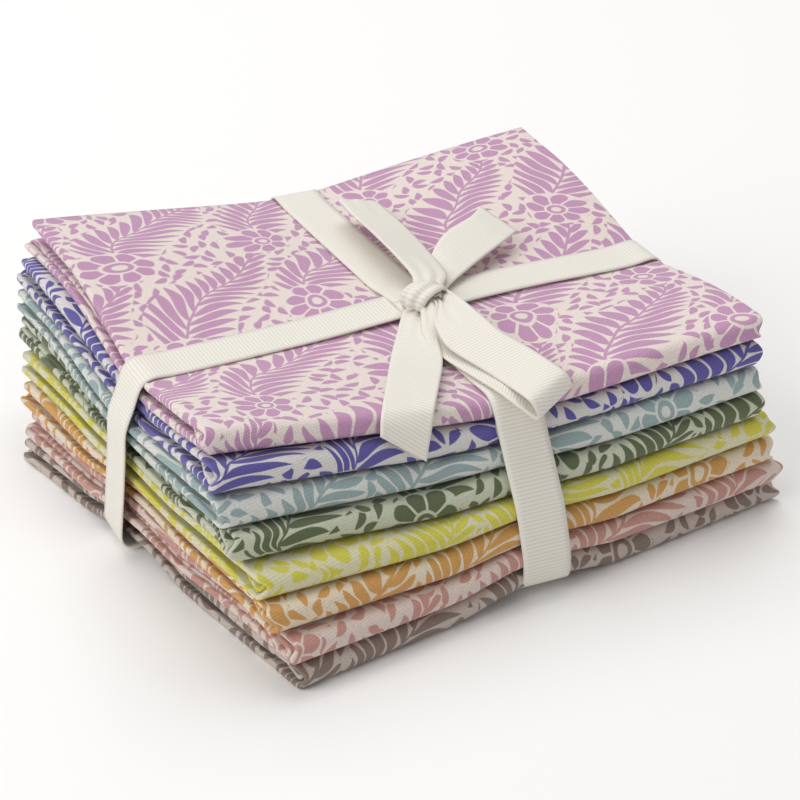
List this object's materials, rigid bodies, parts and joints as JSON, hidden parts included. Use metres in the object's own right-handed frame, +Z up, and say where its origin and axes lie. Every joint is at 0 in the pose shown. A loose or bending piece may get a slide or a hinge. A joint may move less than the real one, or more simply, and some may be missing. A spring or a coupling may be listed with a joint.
{
  "type": "stack of fat quarters tied with ribbon",
  "caption": "Stack of folded printed quilting cottons in soft colours, tied crosswise with cream grosgrain ribbon and a bow on top.",
  "frame": {"origin": "on the surface it rests on, under the middle of the stack's outline", "axes": "+X to the right along the long folds, +Y away from the folded front, +Z up"},
  "size_m": [0.1606, 0.1516, 0.0557],
  "materials": {
    "cotton_violet": "matt printed plain weave, violet on cream",
    "cotton_periwinkle": "matt printed plain weave, periwinkle blue on pale grey",
    "cotton_aqua": "matt printed plain weave, grey aqua on pale grey",
    "cotton_sage": "matt printed plain weave, sage green on pale green grey",
    "cotton_yellow": "matt printed plain weave, yellow on cream",
    "cotton_apricot": "matt printed plain weave, apricot on cream",
    "cotton_pink": "matt printed plain weave, dusty pink on cream",
    "cotton_taupe": "matt printed plain weave, taupe on pale stone",
    "grosgrain_ribbon": "cream grosgrain with fine cross ribs and a soft sheen"
  },
  "bodies": {
    "root": {"fat_quarter_violet": "cotton_violet", "fat_quarter_periwinkle": "cotton_periwinkle", "fat_quarter_aqua": "cotton_aqua", "fat_quarter_sage": "cotton_sage", "fat_quarter_yellow": "cotton_yellow", "fat_quarter_apricot": "cotton_apricot", "fat_quarter_pink": "cotton_pink", "fat_quarter_taupe": "cotton_taupe", "ribbon_lengthwise_band": "grosgrain_ribbon", "ribbon_crosswise_band": "grosgrain_ribbon", "ribbon_knot": "grosgrain_ribbon", "ribbon_tail_front": "grosgrain_ribbon", "ribbon_tail_side": "grosgrain_ribbon", "ribbon_loop_back": "grosgrain_ribbon", "ribbon_loop_front": "grosgrain_ribbon"}
  },
  "joints": []
}
